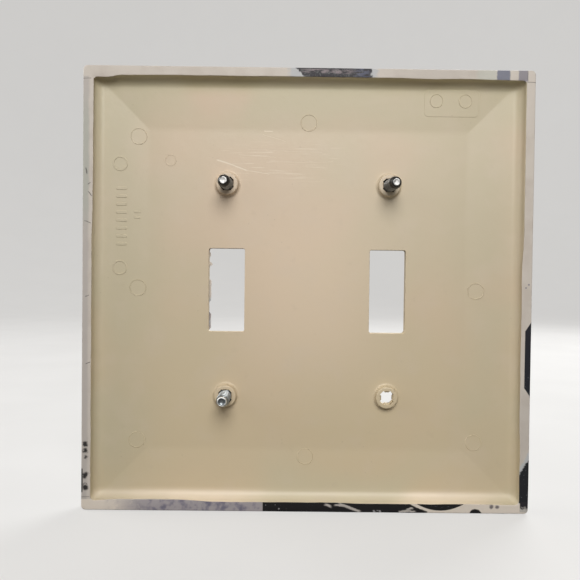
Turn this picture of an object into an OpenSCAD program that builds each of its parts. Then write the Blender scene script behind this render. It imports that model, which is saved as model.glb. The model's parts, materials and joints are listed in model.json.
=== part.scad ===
// Two-gang toggle switch wall plate with a printed paper wrap and three captive screws.
// X runs to the right seen from the front, Z runs up, the wall is on the +Y side.
// The origin is the centre of the plate's wall side, on the outside of the turned-over paper.

/* [Which part] */
// Name of the part to draw, or all

/* [Plate outline] */
// Width of the moulded plate
plate_w = 125.4; // [115:0.1:140]
// Height of the moulded plate
plate_h = 123.8; // [114:0.1:138]
// Radius of the plate's upright corners
corner_r = 1.0; // [0.4:0.1:4]
// Radius of the edge between the face and the sides
edge_r = 1.2; // [0.3:0.1:2.5]
// Slope of the border around the flat centre, in degrees
border_slope = 5; // [1:0.5:12]
// Half the width of the flat centre, measured on the inside
field_half_w = 45.4; // [35:0.1:55]
// Half the height of the flat centre, measured on the inside
field_half_h = 45.5; // [35:0.1:55]
// Draft of the outer sides, in degrees
side_draft = 2; // [0.5:0.5:6]

/* [Plate depth] */
// Thickness of the plate at its centre
face_t = 2.2; // [1.4:0.1:3.5]
// Depth of the hollow behind the centre, from its floor to the rim
hollow_depth = 4.3; // [2.5:0.1:7]
// Width of the rim's flat back edge
rim_w = 2.4; // [1.5:0.1:4]
// Draft of the inner wall of the rim, in degrees
inner_draft = 8; // [2:0.5:15]
// Fillet where the inner wall meets the sloping border
inner_fillet = 2.6; // [0.5:0.1:3]
// Radius of the hollow's corners
inner_corner_r = 1.2; // [0.4:0.1:4]

/* [Openings and screw holes] */
// Distance between the two switch positions
gang_pitch = 46.04; // [46.04:0.01:46.04]
// Distance between the upper and lower screw holes
screw_pitch = 60.33; // [60.33:0.01:60.33]
// Width of a toggle opening
toggle_w = 10.3; // [10:0.1:11]
// Height of a toggle opening
toggle_h = 23.8; // [23:0.1:25]
// Corner radius of a toggle opening
toggle_r = 0.6; // [0.2:0.1:2]
// Radius of the screw holes
hole_r = 2.05; // [1.95:0.05:2.4]
// Radius of the countersink at the face
sink_r = 3.5; // [3.4:0.1:4.2]
// Half the angle of the countersinks and screw heads, in degrees
sink_half_angle = 41; // [41:1:45]
// Outer radius of the bosses behind the holes
boss_r = 3.2; // [2.8:0.1:4.5]
// Height of the bosses above the floor of the hollow
boss_h = 1.9; // [1:0.1:3.5]
// Fillet around the foot of a boss
boss_fillet = 0.8; // [0.2:0.1:1.5]
// Radius inside the four ribs that hold a screw captive
rib_r = 1.84; // [1.83:0.01:1.95]
// Height of the ribs along the hole
rib_h = 1.35; // [0.8:0.05:2]
// Distance from the top of a boss down to its ribs
rib_below = 0.15; // [0.05:0.05:0.5]
// Width of the gaps between the ribs
rib_gap = 1.45; // [0.8:0.05:2]
// Distance from the middle of the hole to the flat ends of the gaps
rib_gap_reach = 2.1; // [2.06:0.01:2.4]

/* [Moulding marks] */
// Radius of the round ejector pads
pad_r = 2.35; // [1.5:0.05:4]
// Height of the round ejector pads above the floor
pad_h = 0.38; // [0.1:0.02:0.6]
// Height of the raised marks above the border
mark_h = 0.12; // [0.05:0.01:0.3]
// Outer radius of the two plain rings
ring_r = 2.1; // [1.5:0.1:3]

/* [Paper wrap] */
// Thickness of the paper
paper_t = 0.15; // [0.1:0.01:0.4]
// Gap between a toggle opening and the paper around it
paper_slot_gap = 0.1; // [0.05:0.05:0.5]
// Radius of the openings in the paper around the screw heads
paper_hole_r = 3.9; // [3.7:0.1:5]
// Distance from the hollow's edge to the turned-over paper
paper_rim_gap = 0.1; // [0.05:0.05:0.5]

/* [Screws] */
// Radius over the thread
thread_r = 1.7525; // [1.7525:0.0001:1.7525]
// Radius at the root of the thread
root_r = 1.32; // [1.27:0.01:1.35]
// Length from the widest part of the head to the tip
screw_len = 12.7; // [12.7:0.1:19.1]
// Radius of the head
head_r = 3.3; // [3.1:0.1:3.45]
// Height of the oval top of the head
head_dome = 0.75; // [0.4:0.05:1]
// Height of the straight band around the head
head_band = 0.2; // [0.1:0.05:0.4]
// Width of the driver slot
slot_w = 1.1; // [0.8:0.1:1.4]
// Depth of the driver slot below the top of the head
slot_depth = 1.1; // [0.7:0.1:1.5]
// Distance the heads stand out of their countersinks
head_proud = 0.4; // [0:0.05:3]
// Length of the chamfer at the tip
tip_chamfer = 0.5; // [0.2:0.1:1]
// Depth of the hollow in the cupped tip
tip_cup = 0.45; // [0.2:0.05:0.8]

/* [Hidden] */
$fn = 48;
arc_n = 6;
eps = 0.02;
rim_y = -paper_t;
floor_y = rim_y - hollow_depth;
face_y = floor_y - face_t;
boss_y = floor_y + boss_h;
outer_field_w = field_half_w + face_t * tan(border_slope / 2);
outer_field_h = field_half_h + face_t * tan(border_slope / 2);
inner_half_w = plate_w / 2 - rim_w;
inner_half_h = plate_h / 2 - rim_w;
// where the widest part of a head lies when its cone meets the countersink
seated_y = face_y - head_band + (sink_r - head_r) / tan(sink_half_angle);
head_y = seated_y - head_proud;
neck_len = boss_y - head_y + 0.1;
gang_x = gang_pitch / 2;
hole_z = screw_pitch / 2;
ivory = [0.76, 0.70, 0.58];
paper_colour = [0.80, 0.79, 0.78];
zinc = [0.62, 0.62, 0.60];
steel = [0.42, 0.42, 0.41];

function arc(c, r, a0, a1) =
    [for (i = [0:arc_n]) let (a = a0 + (a1 - a0) * i / arc_n) c + r * [cos(a), sin(a)]];

// Right half of a dish section: side wall, rounded edge, sloping border, flat centre.
function half_section(half, field, top, low, draft, r) =
    let (
        k1 = half - r / cos(draft) - top * tan(draft),
        k2 = low + r / cos(border_slope) - field * tan(border_slope),
        s = (k1 + tan(draft) * k2) / (1 - tan(draft) * tan(border_slope)),
        y = k2 + tan(border_slope) * s
    )
    concat([[half, top]], arc([s, y], r, -draft, -(90 - border_slope)), [[field, low]]);

function mirrored(p) = [for (i = [len(p) - 1:-1:0]) [-p[i][0], p[i][1]]];

function rounded_box(w, h, r) = concat(
    arc([w / 2 - r, h / 2 - r], r, 0, 90),
    arc([r - w / 2, h / 2 - r], r, 90, 180),
    arc([r - w / 2, r - h / 2], r, 180, 270),
    arc([w / 2 - r, r - h / 2], r, 270, 360)
);

// Upright prism standing on the X-Z plane, from y0 to y1.
module upright(y0, y1) {
    translate([0, y1, 0]) rotate([90, 0, 0]) linear_extrude(y1 - y0) children();
}

// Solid dish: the same section along the width and along the height, meeting in mitred corners.
module dish(half_w, half_h, field_w, field_h, top, low, draft, r, round_r) {
    across = half_section(half_w, field_w, top, low, draft, r);
    upward = half_section(half_h, field_h, top, low, draft, r);
    intersection() {
        linear_extrude(2 * half_h + 4, center = true) polygon(concat(across, mirrored(across)));
        rotate([0, -90, 0]) linear_extrude(2 * half_w + 4, center = true)
            polygon(concat(upward, mirrored(upward)));
        upright(low - 1, top + 1)
            polygon(rounded_box(2 * (half_w + eps), 2 * (half_h + eps), round_r));
    }
}

// The plate's outside, made larger by grow on every side.
module outside(grow) {
    side = grow / cos(side_draft) + grow * tan(side_draft);
    field = grow * tan(border_slope / 2);
    dish(
        plate_w / 2 + side, plate_h / 2 + side, outer_field_w + field, outer_field_h + field,
        rim_y + grow, face_y - grow, side_draft, edge_r + grow, corner_r + grow
    );
}

module hollow() {
    over = 1;
    wider = over * tan(inner_draft);
    dish(
        inner_half_w + wider, inner_half_h + wider, field_half_w, field_half_h,
        rim_y + over, floor_y, inner_draft, inner_fillet, inner_corner_r
    );
}

module along_y(x, z) {
    translate([x, 0, z]) rotate([-90, 0, 0]) children();
}

module each_hole() {
    for (x = [-gang_x, gang_x], z = [-hole_z, hole_z]) along_y(x, z) children();
}

module boss() {
    rotate_extrude() polygon(concat(
        [[0, floor_y - 0.5], [boss_r + boss_fillet, floor_y - 0.5]],
        arc([boss_r + boss_fillet, floor_y + boss_fillet], boss_fillet, 270, 180),
        [[boss_r, boss_y], [0, boss_y]]
    ));
}

// Countersunk hole narrowed by four ribs near the top of its boss.
module screw_hole() {
    ribs_top = boss_y - rib_below;
    ribs_low = ribs_top - rib_h;
    sink_depth = (sink_r - hole_r) / tan(sink_half_angle);
    mouth_r = sink_r + tan(sink_half_angle);
    translate([0, 0, face_y - 1]) cylinder(r1 = mouth_r, r2 = hole_r, h = sink_depth + 1);
    translate([0, 0, face_y]) cylinder(r = hole_r, h = ribs_low - face_y);
    translate([0, 0, ribs_low - 0.1]) cylinder(r = rib_r, h = rib_h + 0.2);
    for (turn = [45, 135]) rotate(turn) translate([-rib_gap_reach, -rib_gap / 2, ribs_low])
        cube([2 * rib_gap_reach, rib_gap, rib_h + rib_below + 1]);
    translate([0, 0, ribs_top]) cylinder(r = hole_r, h = rib_below + 1);
}

module toggle_openings(gap, y0, y1) {
    for (x = [-gang_x, gang_x]) translate([x, 0, 0]) upright(y0, y1)
        polygon(rounded_box(toggle_w + 2 * gap, toggle_h + 2 * gap, toggle_r + gap));
}

// Lift of the sloping border above the floor at a distance from the middle.
function lift(from_middle, field) = (from_middle - field) * tan(border_slope);

// Puts marks on the left-hand border as seen from behind, flat against its slope.
module on_side_border(x, z) {
    translate([x, floor_y + lift(x, field_half_w), z])
        rotate([-90, 0, 0]) rotate([0, -border_slope, 0]) children();
}

module ejector_pads() {
    for (x = [-48.3, 48.3], z = [-43.2, 0.4, 43.4]) if (z != 43.4 || x > 0)
        along_y(x, z) translate([0, 0, floor_y - 0.5]) cylinder(r = pad_r, h = pad_h + 0.5);
    for (z = [-47.6, 47.8])
        along_y(0, z) translate([0, 0, floor_y - 0.5]) cylinder(r = pad_r, h = pad_h + 0.5);
}

// Low panel left by a mould insert on the upper border, with two round dimples.
module insert_panel() {
    z0 = 49.9;
    z1 = 57.4;
    low = floor_y + lift(z0, field_half_h);
    high = floor_y + lift(z1, field_half_h);
    difference() {
        intersection() {
            rotate([0, -90, 0]) linear_extrude(60) polygon([
                [z0 - 1, low - 0.5], [z1, high - 0.5],
                [z1, high + mark_h], [z0 - 1, low - tan(border_slope) + mark_h]
            ]);
            translate([-40.45, 0, (z0 + z1 + 2) / 2]) upright(floor_y - 1, floor_y + 3)
                polygon(rounded_box(15.6, z1 - z0 + 2, 1.3));
        }
        for (x = [-36.1, -44.3]) along_y(x, 54.3)
            translate([0, 0, floor_y + lift(54.3, field_half_h) - 0.16]) cylinder(r = 2, h = 2);
    }
}

module plain_marks() {
    for (z = [6.1, 35.6]) on_side_border(53.4, z) translate([0, 0, -0.4]) difference() {
        cylinder(r = ring_r, h = mark_h + 0.4);
        translate([0, 0, 0.35]) cylinder(r = ring_r - 0.4, h = 1);
    }
    on_side_border(52.9, 20.8) translate([0, 0, -0.4]) linear_extrude(mark_h + 0.4)
        polygon(rounded_box(3.2, 17, 1.5));
    for (p = [[39.5, 36], [43.2, 30.5]])
        along_y(p[0], p[1]) translate([0, 0, floor_y - 0.5]) cylinder(r = 0.9, h = mark_h + 0.5);
}

module plate() {
    color(ivory) difference() {
        union() {
            difference() {
                outside(0);
                hollow();
            }
            each_hole() boss();
            ejector_pads();
            insert_panel();
            plain_marks();
        }
        each_hole() screw_hole();
        toggle_openings(0, face_y - 1, floor_y + 3);
    }
}

module paper_wrap() {
    color(paper_colour) difference() {
        outside(paper_t);
        outside(0);
        upright(rim_y - 0.5, 1) polygon(rounded_box(
            2 * (inner_half_w + paper_rim_gap), 2 * (inner_half_h + paper_rim_gap),
            inner_corner_r + paper_rim_gap
        ));
        toggle_openings(paper_slot_gap, face_y - 1, floor_y);
        each_hole() translate([0, 0, face_y - 1]) cylinder(r = paper_hole_r, h = 2);
    }
}

// Oval-head slotted screw along +Z, with z = 0 at the widest part of its head.
module screw_body(cupped) {
    dome_r = (head_r * head_r + head_dome * head_dome) / (2 * head_dome);
    dome_a = asin(head_r / dome_r);
    dome = [for (i = [0:8]) let (a = dome_a * i / 8)
        [dome_r * sin(a), dome_r - head_dome - dome_r * cos(a)]];
    cone_end = head_band + (head_r - root_r) / tan(sink_half_angle);
    difference() {
        rotate_extrude() polygon(concat(dome, [
            [head_r, head_band],
            [root_r, cone_end],
            [root_r, neck_len],
            [thread_r, neck_len + 0.3],
            [thread_r, screw_len - tip_chamfer],
            [thread_r - tip_chamfer, screw_len],
            [0, screw_len]
        ]));
        translate([-head_r - 1, -slot_w / 2, -head_dome - 1])
            cube([2 * head_r + 2, slot_w, slot_depth + 1]);
        if (cupped) translate([0, 0, screw_len - tip_cup])
            cylinder(r1 = 0.35, r2 = 1.2, h = tip_cup + eps);
    }
}

module screw(x, z, turn, tint, cupped) {
    color(tint) translate([x, head_y, z]) rotate([-90, 0, 0]) rotate(turn) screw_body(cupped);
}

module upper_right_screw() {
    screw(gang_x, hole_z, 24, steel, false);
}

module upper_left_screw() {
    screw(-gang_x, hole_z, -38, steel, false);
}

module lower_right_screw() {
    screw(gang_x, -hole_z, 71, zinc, true);
}

plate();
paper_wrap();
upper_right_screw();
upper_left_screw();
lower_right_screw();
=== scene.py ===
"""Two-gang toggle switch wall plate in a printed paper wrap, with three captive screws.

Shapes are drawn in millimetres in the part's own frame and brought to metres at the end.
The wall is on the +Y side, so the photographed back of the plate faces +Y.
"""

import json
import math

import bpy
from mathutils import Matrix, Vector, noise


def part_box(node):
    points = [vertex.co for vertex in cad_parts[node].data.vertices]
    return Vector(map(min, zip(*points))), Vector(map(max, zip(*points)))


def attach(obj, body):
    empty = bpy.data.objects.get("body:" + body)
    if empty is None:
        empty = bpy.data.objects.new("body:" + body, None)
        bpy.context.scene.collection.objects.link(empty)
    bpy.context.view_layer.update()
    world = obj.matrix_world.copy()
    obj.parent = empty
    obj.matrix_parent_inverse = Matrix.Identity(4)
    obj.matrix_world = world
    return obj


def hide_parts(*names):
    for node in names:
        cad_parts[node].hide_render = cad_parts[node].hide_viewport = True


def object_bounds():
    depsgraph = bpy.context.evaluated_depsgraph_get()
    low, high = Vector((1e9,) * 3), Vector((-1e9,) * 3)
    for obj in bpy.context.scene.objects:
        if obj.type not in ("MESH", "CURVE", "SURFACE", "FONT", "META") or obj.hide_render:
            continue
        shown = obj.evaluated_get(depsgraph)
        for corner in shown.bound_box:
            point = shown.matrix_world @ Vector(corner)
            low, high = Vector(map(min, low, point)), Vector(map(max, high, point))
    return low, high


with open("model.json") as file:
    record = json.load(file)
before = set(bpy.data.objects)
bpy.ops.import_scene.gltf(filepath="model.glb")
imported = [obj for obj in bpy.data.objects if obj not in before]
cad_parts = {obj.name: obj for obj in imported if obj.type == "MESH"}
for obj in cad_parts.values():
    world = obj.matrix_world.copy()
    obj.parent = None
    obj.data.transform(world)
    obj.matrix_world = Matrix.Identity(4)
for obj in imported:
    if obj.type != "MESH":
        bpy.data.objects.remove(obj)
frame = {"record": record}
CAD_LOW, CAD_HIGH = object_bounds()

MM = 0.001
PLATE_LOW, PLATE_HIGH = (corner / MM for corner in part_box("plate"))
WRAP_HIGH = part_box("paper_wrap")[1] / MM

# ---- dimensions, mm

HALF_W = PLATE_HIGH.x
HALF_H = PLATE_HIGH.z
RIM_Y = PLATE_HIGH.y
FACE_Y = PLATE_LOW.y
PAPER_T = WRAP_HIGH.y - PLATE_HIGH.y
FACE_T = 2.2
FLOOR_Y = FACE_Y + FACE_T
BOSS_Y = FLOOR_Y + 1.9
RIM_W = 2.4
INNER_HALF_W = HALF_W - RIM_W
INNER_HALF_H = HALF_H - RIM_W
FIELD_HALF_W = 45.4
FIELD_HALF_H = 45.5
SLOPE = math.radians(5)
INNER_DRAFT = math.radians(8)
SIDE_DRAFT = math.radians(2)
INNER_FILLET = 2.6
INNER_CORNER = 1.2
CORNER = 1.0
EDGE = 1.2

CREASE_SOFT = 0.9
RIM_ROUND = 0.3

HOLE_R = 2.05
SINK_R = 3.5
SINK_SLOPE = math.tan(math.radians(41))
SINK_DEPTH = (SINK_R - HOLE_R) / SINK_SLOPE
RIB_R = 1.58
GAP_HALF = 0.72
GAP_REACH = 2.08
RIB_TOP = 0.4
RIB_LOW = 1.5
BOSS_R = 3.2

THREAD_R = 1.7525
ROOT_R = 1.33
PITCH = 25.4 / 32
HEAD_R = 3.3
SCREW_LEN = 12.7
HEAD_DOME = 0.75
HEAD_BAND = 0.2
PIVOT_Y = BOSS_Y - 1.0
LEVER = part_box("upper_right_screw")[0].y / MM + HEAD_DOME + SCREW_LEN - PIVOT_Y

SLOT_W = 10.3
SLOT_H = 23.8

PANEL = (-40.45, 53.65)
PANEL_H = 0.08
DIMPLES = ((-36.1, 54.3), (-44.3, 54.3))
EJECTOR_R = 2.35
DIMPLE_R = 1.9
EJECTOR_MARKS = (
    (48.3, 0.4),
    (-48.3, 0.4),
    (48.3, -43.2),
    (-48.3, -43.2),
    (48.3, 43.4),
    (0.0, -47.6),
    (0.0, 47.8),
)
UNDERCUT = 0.4


def mount_place(name):
    for mount in frame["record"]["mounts"]:
        if mount["name"] == name:
            return Vector(mount["pos_m"]) / MM
    raise ValueError(name)


HOLES = {
    "upper_right": mount_place("upper_right_screw_end"),
    "upper_left": mount_place("upper_left_screw_end"),
    "lower_right": mount_place("lower_right_screw_end"),
    "empty": mount_place("empty_screw_hole"),
}


# ---- small tools


def smoothstep(low, high, value):
    t = min(1.0, max(0.0, (value - low) / (high - low)))
    return t * t * (3 - 2 * t)


def hill(low, high, soft, value):
    """1 between low and high, falling to 0 over soft on both sides."""
    return smoothstep(low - soft, low, value) * (1 - smoothstep(high, high + soft, value))


def interpolate(table, value):
    """y at a value of x in a table of (x, y) sorted by x."""
    if value <= table[0][0]:
        return table[0][1]
    for (x0, y0), (x1, y1) in zip(table, table[1:]):
        if value <= x1:
            return y0 + (y1 - y0) * (value - x0) / (x1 - x0)
    return table[-1][1]


def arc(centre, radius, start, end, steps):
    return [
        (
            centre[0] + radius * math.cos(start + (end - start) * i / steps),
            centre[1] + radius * math.sin(start + (end - start) * i / steps),
        )
        for i in range(steps + 1)
    ]


def rough(x, y, z, size, seed=0):
    """Smooth noise between -1 and 1 with bumps about size mm across."""
    return noise.noise(Vector((x / size + seed * 7.3, y / size - seed * 3.1, z / size)))


def mesh_object(name, verts, faces):
    mesh = bpy.data.meshes.new(name)
    mesh.from_pydata([tuple(v) for v in verts], [], faces)
    mesh.validate()
    obj = bpy.data.objects.new(name, mesh)
    bpy.context.scene.collection.objects.link(obj)
    return obj


def loft(name, rings, closed=False):
    """Skin over rings of equal length, with both ends filled unless the last ring joins the first."""
    count = len(rings[0])
    verts = [v for ring in rings for v in ring]
    faces = []
    last = len(rings) if closed else len(rings) - 1
    for i in range(last):
        a, b = i * count, ((i + 1) % len(rings)) * count
        for j in range(count):
            k = (j + 1) % count
            faces.append((a + j, a + k, b + k, b + j))
    if not closed:
        faces.append(tuple(reversed(range(count))))
        faces.append(tuple((len(rings) - 1) * count + j for j in range(count)))
    return face_outwards(mesh_object(name, verts, faces))


def face_outwards(obj):
    """Turns all faces inside out if the closed mesh has a negative volume."""
    mesh = obj.data
    volume = 0.0
    for p in mesh.polygons:
        first = mesh.vertices[p.vertices[0]].co
        for i in range(1, len(p.vertices) - 1):
            b = mesh.vertices[p.vertices[i]].co
            c = mesh.vertices[p.vertices[i + 1]].co
            volume += first.dot(b.cross(c))
    if volume < 0:
        mesh.flip_normals()
    return obj


def turned(name, profile, centre, steps=72):
    """Skin of revolution about the Y axis through centre (x, z), from (radius, y) pairs."""
    verts, faces, rows = [], [], []
    for radius, y in profile:
        if radius < 1e-6:
            rows.append([len(verts)])
            verts.append((centre[0], y, centre[1]))
        else:
            rows.append(list(range(len(verts), len(verts) + steps)))
            for i in range(steps):
                a = 2 * math.pi * i / steps
                verts.append(
                    (centre[0] + radius * math.cos(a), y, centre[1] + radius * math.sin(a))
                )
    for low, high in zip(rows, rows[1:]):
        for i in range(steps):
            k = (i + 1) % steps
            if len(low) == 1:
                faces.append((low[0], high[k], high[i]))
            elif len(high) == 1:
                faces.append((low[i], low[k], high[0]))
            else:
                faces.append((low[i], low[k], high[k], high[i]))
    return face_outwards(mesh_object(name, verts, faces))


def prism(name, outline, y0, y1):
    """Outline of (x, z) points between two depths."""
    return loft(name, [[(x, y, z) for x, z in outline] for y in (y0, y1)])


def boolean(base, tools, operation):
    """Joins or cuts the tools with the base, exactly, and removes them."""
    group = bpy.data.collections.new("tools")
    bpy.context.scene.collection.children.link(group)
    for tool in tools:
        for owner in tool.users_collection:
            owner.objects.unlink(tool)
        group.objects.link(tool)
    modifier = base.modifiers.new("boolean", "BOOLEAN")
    modifier.operation = operation
    modifier.solver = "EXACT"
    modifier.operand_type = "COLLECTION"
    modifier.collection = group
    bake(base)
    for tool in tools:
        bpy.data.objects.remove(tool)
    bpy.data.collections.remove(group)
    return base


def bake(obj):
    """Replaces an object's mesh with the result of its modifiers."""
    graph = bpy.context.evaluated_depsgraph_get()
    mesh = bpy.data.meshes.new_from_object(obj.evaluated_get(graph))
    obj.modifiers.clear()
    obj.data = mesh


def finish_piece(obj, body, node, material, sharp=28):
    """Brings a piece to metres, smooths it and ties it to the frame."""
    mesh = obj.data
    mesh.transform(Matrix.Scale(MM, 4))
    mesh.materials.clear()
    mesh.materials.append(material)
    mesh.shade_smooth()
    mesh.set_sharp_from_angle(angle=math.radians(sharp))
    weighted = obj.modifiers.new("weighted normals", "WEIGHTED_NORMAL")
    weighted.keep_sharp = True
    weighted.weight = 90
    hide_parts(node)
    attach(obj, body)


# ---- plate


def rounded_rectangle(half_x, half_z, radius, corner_steps=6, side_steps=1):
    """Points (x, z) round a rounded rectangle, the same number for every size."""
    corners = []
    for quarter, (sx, sz) in enumerate(((1, 1), (-1, 1), (-1, -1), (1, -1))):
        centre = (sx * (half_x - radius), sz * (half_z - radius))
        start = quarter * math.pi / 2
        corners.append(arc(centre, radius, start, start + math.pi / 2, corner_steps))
    points = []
    for corner, following in zip(corners, corners[1:] + corners[:1]):
        (x0, z0), (x1, z1) = corner[-1], following[0]
        shares = [k / side_steps for k in range(1, side_steps)]
        points += corner + [(x0 + (x1 - x0) * t, z0 + (z1 - z0) * t) for t in shares]
    return points


def border_section(half, top, field, low, radius, draft, steps):
    """(distance from the middle, y) up the sloping border and round into the drafted side."""
    side = half - radius / math.cos(draft) - top * math.tan(draft)
    border = low + radius / math.cos(SLOPE) - field * math.tan(SLOPE)
    s = (side + math.tan(draft) * border) / (1 - math.tan(draft) * math.tan(SLOPE))
    y = border + math.tan(SLOPE) * s
    crease = [
        (field + CREASE_SOFT * t, low + math.tan(SLOPE) * CREASE_SOFT * (1 + t) ** 2 / 4)
        for t in (-1, -0.5, 0, 0.5, 1)
    ]
    return crease + arc((s, y), radius, -(math.pi / 2 - SLOPE), -draft, steps)


def hollow_section(half, field):
    """(distance from the middle, y) from the flat floor up the inner wall to the rim."""
    section = border_section(half, RIM_Y, field, FLOOR_Y, INNER_FILLET, INNER_DRAFT, 16)
    return section + [(half - 0.03, RIM_Y - 0.25)]


def outside_section(half, field, top, low, radius):
    """(distance from the middle, y) from the front field back along the side to the rim."""
    section = border_section(half, top, field, low, radius, SIDE_DRAFT, 10)
    straight = [(half - RIM_ROUND * math.tan(SIDE_DRAFT), top - RIM_ROUND)]
    rounding = arc((half - RIM_ROUND, top - RIM_ROUND), RIM_ROUND, 0, math.pi / 2, 4)
    return section + straight + rounding[1:-1]


def rings_at(across, upward, heights, radius_at, corner_steps=6, side_steps=1):
    """Level rings whose half width and half height come from the two sections."""
    wide = sorted((y, s) for s, y in across)
    tall = sorted((y, s) for s, y in upward)
    return [
        [
            (x, y, z)
            for x, z in rounded_rectangle(
                interpolate(wide, y), interpolate(tall, y), radius_at(y), corner_steps, side_steps
            )
        ]
        for y in heights
    ]


def heights_of(across, upward, digits=4):
    """Every height in the two sections once, from the lowest up."""
    return sorted({round(y, digits) for _, y in across + upward})


def plate_body():
    across = hollow_section(INNER_HALF_W, FIELD_HALF_W)
    upward = hollow_section(INNER_HALF_H, FIELD_HALF_H)
    heights = heights_of(across, upward)

    def inner_radius(y):
        return 0.25 + (INNER_CORNER - 0.25) * smoothstep(FLOOR_Y + 0.3, FLOOR_Y + 2.2, y)

    inner = rings_at(across, upward, heights, inner_radius)
    lip = 0.25
    inner_rim = [
        [
            (x, RIM_Y - lip + lip * math.sin(a), z)
            for x, z in rounded_rectangle(
                INNER_HALF_W + lip * (1 - math.cos(a)),
                INNER_HALF_H + lip * (1 - math.cos(a)),
                INNER_CORNER + lip * (1 - math.cos(a)),
            )
        ]
        for a in (math.pi / 6, math.pi / 3, math.pi / 2)
    ]
    grow = FACE_T * math.tan(SLOPE / 2)
    wide = outside_section(HALF_W, FIELD_HALF_W + grow, RIM_Y, FACE_Y, EDGE)
    tall = outside_section(HALF_H, FIELD_HALF_H + grow, RIM_Y, FACE_Y, EDGE)
    levels = heights_of(wide, tall)[::-1]
    rim = rounded_rectangle(HALF_W - RIM_ROUND, HALF_H - RIM_ROUND, CORNER - RIM_ROUND / 2)
    outer_rim = [[(x, RIM_Y, z) for x, z in rim]]

    def outer_radius(y):
        return CORNER - 0.5 * smoothstep(FACE_Y + 2.0, FACE_Y + 0.6, y)

    outer = rings_at(wide, tall, levels, outer_radius)
    return loft("plate", inner + inner_rim + outer_rim + outer)


def boss(centre):
    foot = 0.8
    round_r = 0.4
    draft = 0.06
    profile = [(0, FLOOR_Y - 0.6), (BOSS_R + foot, FLOOR_Y - 0.6)]
    profile += arc(
        (BOSS_R + foot, FLOOR_Y + foot), foot, math.radians(262), math.radians(180), 8
    )
    profile += arc(
        (BOSS_R - round_r - draft, BOSS_Y - round_r), round_r, 0, math.pi / 2, 6
    )
    profile.append((0, BOSS_Y))
    return turned("boss", profile, centre)


def lift(x, z):
    """Height of the sloping border above the flat floor."""
    return max(0.0, abs(x) - FIELD_HALF_W, abs(z) - FIELD_HALF_H) * math.tan(SLOPE)


def burr_ring(x, z, radius, steep, base=0.0):
    """Round ejector mark: a low disc inside a raised burr that follows the sloping border.

    steep is the side of the burr that drops sharply, -1 the inside and 1 the outside.
    """
    height = 0.13 if steep > 0 else 0.10
    disc, crest = 0.02, 0.08
    outer = 0.05 if steep > 0 else 0.11
    inner = 0.10 if steep > 0 else 0.03
    shoulder = radius - outer
    foot = shoulder - crest - inner
    profile = [(0, -UNDERCUT), (radius, -UNDERCUT), (radius, 0.0), (shoulder, height)]
    profile += [(shoulder - crest, height), (foot, disc), (foot - 0.3, disc), (0, disc)]
    burr = turned("burr", profile, (x, z), 48)
    for vertex in burr.data.vertices:
        vertex.co.y += FLOOR_Y + base + lift(vertex.co.x, vertex.co.z)
    return burr


def on_border(obj, x, z):
    """Tips a mark drawn about the origin onto the border on the +X side."""
    place = Matrix.Translation((x, FLOOR_Y + lift(x, z), z)) @ Matrix.Rotation(SLOPE, 4, "Z")
    obj.data.transform(place)
    return obj


def ring_mark(outer=2.1, height=0.14):
    """Plain raised ring, drawn about the origin."""
    inner = outer - 0.4
    profile = [
        (inner, -UNDERCUT),
        (outer, -UNDERCUT),
        (outer, height - 0.05),
        (outer - 0.05, height),
        (inner + 0.05, height),
        (inner, height - 0.05),
    ]
    steps = 56
    rings = []
    for i in range(steps):
        a = 2 * math.pi * i / steps
        rings.append([(r * math.cos(a), y, r * math.sin(a)) for r, y in profile])
    return loft("ring", rings, closed=True)


def rib_mark(half_x, half_z, height=0.13):
    """Short low rib with rounded ends, drawn about the origin."""
    outline = rounded_rectangle(half_x, half_z, min(half_x, half_z) - 0.02, 6)
    crest = rounded_rectangle(half_x - 0.07, half_z - 0.07, min(half_x, half_z) - 0.09, 6)
    rings = []
    for points, y in ((outline, -UNDERCUT), (outline, height - 0.06), (crest, height)):
        rings.append([(x, y, z) for x, z in points])
    return loft("rib", rings)


def plain_marks():
    """Plain rings and ribs where the real plate carries lettering."""
    marks = [on_border(ring_mark(), 53.4, z) for z in (6.1, 35.6)]
    for i in range(8):
        marks.append(on_border(rib_mark(1.55, 0.42), 53.0, 28.6 - 2.25 * i))
    for z in (20.4, 22.0):
        marks.append(on_border(rib_mark(0.95, 0.32, 0.10), 48.6, z))
    faint = ring_mark(1.75, 0.08)
    faint.data.transform(Matrix.Translation((39.3, FLOOR_Y, 36.9)))
    marks.append(faint)
    return marks


def insert_panel():
    """Low panel left by a mould insert, following the slope of the upper border."""
    half_x, half_z = 7.8, 3.75
    rings = []
    for grow, y in ((0.0, -0.5), (0.0, 0.01), (-0.12, PANEL_H)):
        outline = rounded_rectangle(half_x + grow, half_z + grow, 1.3 + grow, 8)
        rings.append(
            [
                (x + PANEL[0], FLOOR_Y + y + lift(0, z + PANEL[1]), z + PANEL[1])
                for x, z in outline
            ]
        )
    return loft("panel", rings)


def hole_outline(rib_r, reach):
    """Ribbed hole: four ribs upright and across, and four square gaps on the diagonals."""
    half = math.asin(min(0.99, GAP_HALF / rib_r))
    mouth = rib_r * math.cos(half)
    gap = [(mouth, -1), (reach, -1), (reach, -0.5), (reach, 0), (reach, 0.5), (reach, 1), (mouth, 1)]
    outline = []
    for quarter in range(4):
        diagonal = math.pi / 4 + quarter * math.pi / 2
        cosine, sine = math.cos(diagonal), math.sin(diagonal)
        for out, offset in gap:
            aside = offset * GAP_HALF
            outline.append((cosine * out - sine * aside, sine * out + cosine * aside))
        rib = arc((0, 0), rib_r, diagonal + half, diagonal + math.pi / 2 - half, 8)
        outline += rib[1:-1]
    return outline


def round_outline(radius):
    """A circle with its points in the same directions as the ribbed outline's."""
    return [
        (radius * math.cos(math.atan2(z, x)), radius * math.sin(math.atan2(z, x)))
        for x, z in hole_outline(HOLE_R - 0.02, HOLE_R)
    ]


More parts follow.
